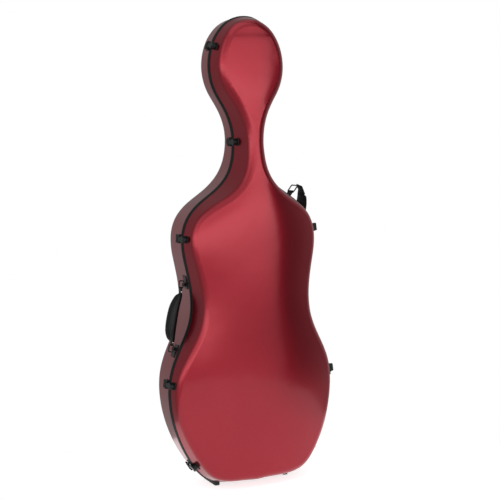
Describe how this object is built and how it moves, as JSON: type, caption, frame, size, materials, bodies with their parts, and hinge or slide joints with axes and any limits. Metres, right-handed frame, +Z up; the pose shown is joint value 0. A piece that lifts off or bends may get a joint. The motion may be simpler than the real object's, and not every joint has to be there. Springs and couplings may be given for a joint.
{
  "type": "cello case",
  "caption": "Hard-shell cello case: two moulded halves with a side-hinged lid, draw latches, a padded carrying handle, a shoulder strap and a padded interior.",
  "frame": {"origin": "bottom centre of the closed case standing on its feet, at the middle of its overall width and depth", "axes": "+Z up along the length of the case towards the head, +X to the right seen from the lid side, +Y back from the lid into the base shell"},
  "size_m": [0.536, 0.264, 1.3382],
  "materials": {
    "red_shell": "satin metallic red lacquer over a moulded shell, fine grain",
    "rim_profile": "black extruded edge profile",
    "seal_rubber": "black rubber seal",
    "lining_plush": "dark grey plush lining",
    "pad_velvet": "charcoal velvet over foam",
    "black_webbing": "black woven webbing",
    "strap_padding": "black padded fabric",
    "black_hardware": "black coated steel, satin",
    "black_lever": "black moulded lever, semi-gloss",
    "steel_pin": "bright steel",
    "bright_rivet": "bright nickel rivet",
    "grip_leather": "black moulded leatherette",
    "foot_rubber": "black rubber",
    "holder_plastic": "dark velvet covered block",
    "spinner_plastic": "black moulded nylon"
  },
  "bodies": {
    "base": {"base_lining": "lining_plush", "base_rim": "rim_profile", "base_shell": "red_shell", "end_block_pad": "pad_velvet", "feet": "foot_rubber", "handle_anchor_lower": "black_hardware", "handle_anchor_upper": "black_hardware", "head_pad": "pad_velvet", "hinge_lower_base_leaf": "black_hardware", "hinge_lower_pin": "steel_pin", "hinge_upper_base_leaf": "black_hardware", "hinge_upper_pin": "steel_pin", "latch_corner_plate": "black_hardware", "latch_head_plate": "black_hardware", "latch_hip_plate": "black_hardware", "latch_neck_plate": "black_hardware", "latch_pivot_pins": "steel_pin", "latch_shoulder_plate": "black_hardware", "lower_back_pad": "pad_velvet", "neck_cradle": "pad_velvet", "neck_strap": "black_webbing", "seal_gasket": "seal_rubber", "strap_anchors": "black_hardware", "strap_pad": "strap_padding", "strap_rings": "black_hardware", "strap_tabs": "black_webbing", "strap_webbing_lower": "black_webbing", "strap_webbing_upper": "black_webbing", "upper_back_pad": "pad_velvet", "waist_pads": "pad_velvet"},
    "lid": {"bow_blocks": "holder_plastic", "bow_posts": "steel_pin", "bow_tip_sleeves": "holder_plastic", "hinge_lower_lid_leaf": "black_hardware", "hinge_upper_lid_leaf": "black_hardware", "latch_corner_keeper": "black_hardware", "latch_head_keeper": "black_hardware", "latch_hip_keeper": "black_hardware", "latch_neck_keeper": "black_hardware", "latch_shoulder_keeper": "black_hardware", "lid_lining": "lining_plush", "lid_rim": "rim_profile", "lid_shell": "red_shell"},
    "handle": {"handle_grip": "grip_leather", "handle_link_lower": "grip_leather", "handle_link_upper": "grip_leather", "handle_rings": "black_hardware", "handle_rivets": "bright_rivet"},
    "latch_head_lever": {"latch_head_lever": "black_lever"},
    "latch_head_claw": {"latch_head_claw": "black_hardware"},
    "latch_neck_lever": {"latch_neck_lever": "black_lever"},
    "latch_neck_claw": {"latch_neck_claw": "black_hardware"},
    "latch_shoulder_lever": {"latch_shoulder_lever": "black_lever"},
    "latch_shoulder_claw": {"latch_shoulder_claw": "black_hardware"},
    "latch_hip_lever": {"latch_hip_lever": "black_lever"},
    "latch_hip_claw": {"latch_hip_claw": "black_hardware"},
    "latch_corner_lever": {"latch_corner_lever": "black_lever"},
    "latch_corner_claw": {"latch_corner_claw": "black_hardware"},
    "bow_spinner_left": {"bow_spinner_left": "spinner_plastic"},
    "bow_spinner_right": {"bow_spinner_right": "spinner_plastic"}
  },
  "joints": [
    {"name": "lid_hinge", "type": "hinge", "parent": "base", "child": "lid", "pos_m": [0.23628, -0.03058, 0.5207], "axis": [-0.116, 0, 0.9933], "range_deg": [0, 115]},
    {"name": "latch_head_pivot", "type": "hinge", "parent": "base", "child": "latch_head_lever", "pos_m": [-0.11174, -0.02108, 1.25663], "axis": [0.3272, 0, 0.945], "range_deg": [0, 100]},
    {"name": "latch_head_claw_pivot", "type": "hinge", "parent": "latch_head_lever", "child": "latch_head_claw", "pos_m": [-0.11269, -0.01538, 1.25696], "axis": [0.3272, 0, 0.945], "range_deg": [-110, 0]},
    {"name": "latch_neck_pivot", "type": "hinge", "parent": "base", "child": "latch_neck_lever", "pos_m": [-0.0529, -0.02108, 0.98731], "axis": [-0.0146, 0, 0.9999], "range_deg": [0, 100]},
    {"name": "latch_neck_claw_pivot", "type": "hinge", "parent": "latch_neck_lever", "child": "latch_neck_claw", "pos_m": [-0.0539, -0.01538, 0.9873], "axis": [-0.0146, 0, 0.9999], "range_deg": [-110, 0]},
    {"name": "latch_shoulder_pivot", "type": "hinge", "parent": "base", "child": "latch_shoulder_lever", "pos_m": [-0.21388, -0.02108, 0.72224], "axis": [0.0706, 0, 0.9975], "range_deg": [0, 100]},
    {"name": "latch_shoulder_claw_pivot", "type": "hinge", "parent": "latch_shoulder_lever", "child": "latch_shoulder_claw", "pos_m": [-0.21487, -0.01538, 0.72231], "axis": [0.0706, 0, 0.9975], "range_deg": [-110, 0]},
    {"name": "latch_hip_pivot", "type": "hinge", "parent": "base", "child": "latch_hip_lever", "pos_m": [-0.26282, -0.02108, 0.31311], "axis": [0.1154, 0, 0.9933], "range_deg": [0, 100]},
    {"name": "latch_hip_claw_pivot", "type": "hinge", "parent": "latch_hip_lever", "child": "latch_hip_claw", "pos_m": [-0.26381, -0.01538, 0.31323], "axis": [0.1154, 0, 0.9933], "range_deg": [-110, 0]},
    {"name": "latch_corner_pivot", "type": "hinge", "parent": "base", "child": "latch_corner_lever", "pos_m": [-0.19762, -0.02108, 0.06696], "axis": [-0.5389, 0, 0.8424], "range_deg": [0, 100]},
    {"name": "latch_corner_claw_pivot", "type": "hinge", "parent": "latch_corner_lever", "child": "latch_corner_claw", "pos_m": [-0.19847, -0.01538, 0.06642], "axis": [-0.5389, 0, 0.8424], "range_deg": [-110, 0]},
    {"name": "handle_swing", "type": "hinge", "parent": "base", "child": "handle", "pos_m": [-0.21222, -0.00058, 0.502], "axis": [0.1976, 0, 0.9803], "range_deg": [-45, 45]},
    {"name": "bow_spinner_left_turn", "type": "hinge", "parent": "lid", "child": "bow_spinner_left", "pos_m": [-0.14097, -0.07558, 0.207], "axis": [0, 1, 0], "continuous": true},
    {"name": "bow_spinner_right_turn", "type": "hinge", "parent": "lid", "child": "bow_spinner_right", "pos_m": [0.13103, -0.07558, 0.207], "axis": [0, 1, 0], "continuous": true}
  ],
  "couplings": [
    {"joint": "latch_head_claw_pivot", "follows": "latch_head_pivot", "ratio": -1.1},
    {"joint": "latch_neck_claw_pivot", "follows": "latch_neck_pivot", "ratio": -1.1},
    {"joint": "latch_shoulder_claw_pivot", "follows": "latch_shoulder_pivot", "ratio": -1.1},
    {"joint": "latch_hip_claw_pivot", "follows": "latch_hip_pivot", "ratio": -1.1},
    {"joint": "latch_corner_claw_pivot", "follows": "latch_corner_pivot", "ratio": -1.1}
  ]
}
